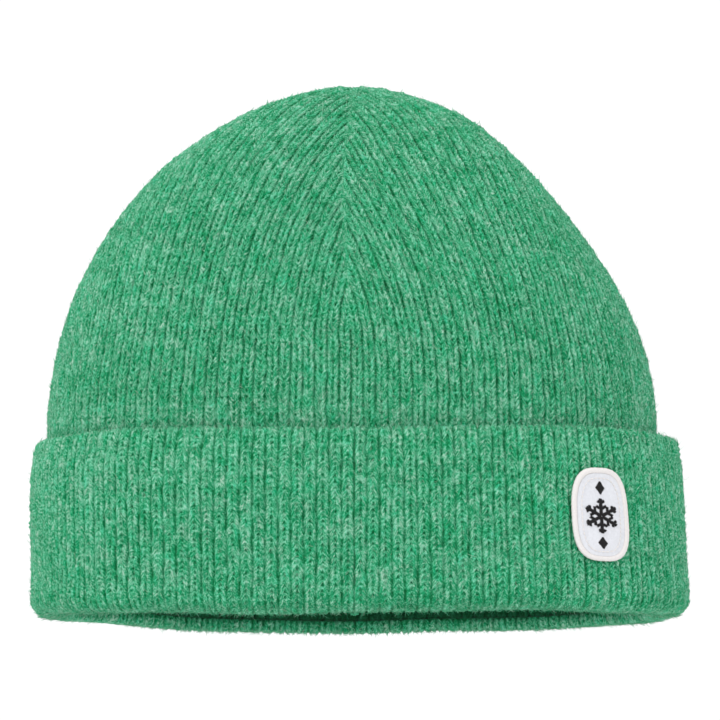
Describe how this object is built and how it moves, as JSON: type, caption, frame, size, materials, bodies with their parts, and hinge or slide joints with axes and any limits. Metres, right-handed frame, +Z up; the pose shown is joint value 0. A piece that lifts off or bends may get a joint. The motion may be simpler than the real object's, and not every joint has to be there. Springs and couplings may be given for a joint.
{
  "type": "knit beanie",
  "caption": "Brushed 1x1 rib knit beanie, crown up and opened to a head's oval, with a deep turned-up cuff, a four-dart crown, a sewn patch and an inner label.",
  "frame": {"origin": "centre of the head opening, on the plane of the rim, where the head enters", "axes": "+Z up through the crown, -Y towards the front with the patch, +X to the right of someone who looks at that front"},
  "size_m": [0.2348, 0.1668, 0.1943],
  "materials": {
    "rib_wool": "brushed 1x1 rib wool knit in a mottled green",
    "rib_wool_edge": "firm knitted edge in the same mottled green wool",
    "seam_yarn": "green linking yarn",
    "felt": "pale felt",
    "white_twill": "white woven twill",
    "white_thread": "white embroidery thread, satin stitch",
    "black_thread": "black embroidery thread, satin stitch",
    "satin": "blank white satin ribbon"
  },
  "bodies": {
    "crown": {"body_wall": "rib_wool", "gore_front_right": "rib_wool", "gore_back_right": "rib_wool", "gore_back_left": "rib_wool", "gore_front_left": "rib_wool", "crown_closure": "seam_yarn", "dart_seam_front": "seam_yarn", "dart_seam_right": "seam_yarn", "dart_seam_back": "seam_yarn", "dart_seam_left": "seam_yarn", "body_back_seam": "seam_yarn", "care_label_stitching": "seam_yarn"},
    "cuff": {"cuff_turn_up": "rib_wool", "cuff_cast_on_edge": "rib_wool_edge", "cuff_back_seam": "seam_yarn", "patch_backing": "felt", "patch_base": "white_twill", "patch_border": "white_thread", "patch_sewing_thread": "white_thread", "patch_star": "black_thread", "patch_upper_diamond": "black_thread", "patch_lower_diamond": "black_thread"},
    "label": {"care_label": "satin"}
  },
  "joints": [
    {"name": "cuff_turn_down", "type": "slide", "parent": "crown", "child": "cuff", "axis": [0, 0, -1], "range_m": [0, 0.057]},
    {"name": "care_label_flap", "type": "hinge", "parent": "crown", "child": "label", "pos_m": [0, 0.0673, 0.0648], "axis": [-1, 0, 0], "range_deg": [0, 100]}
  ]
}
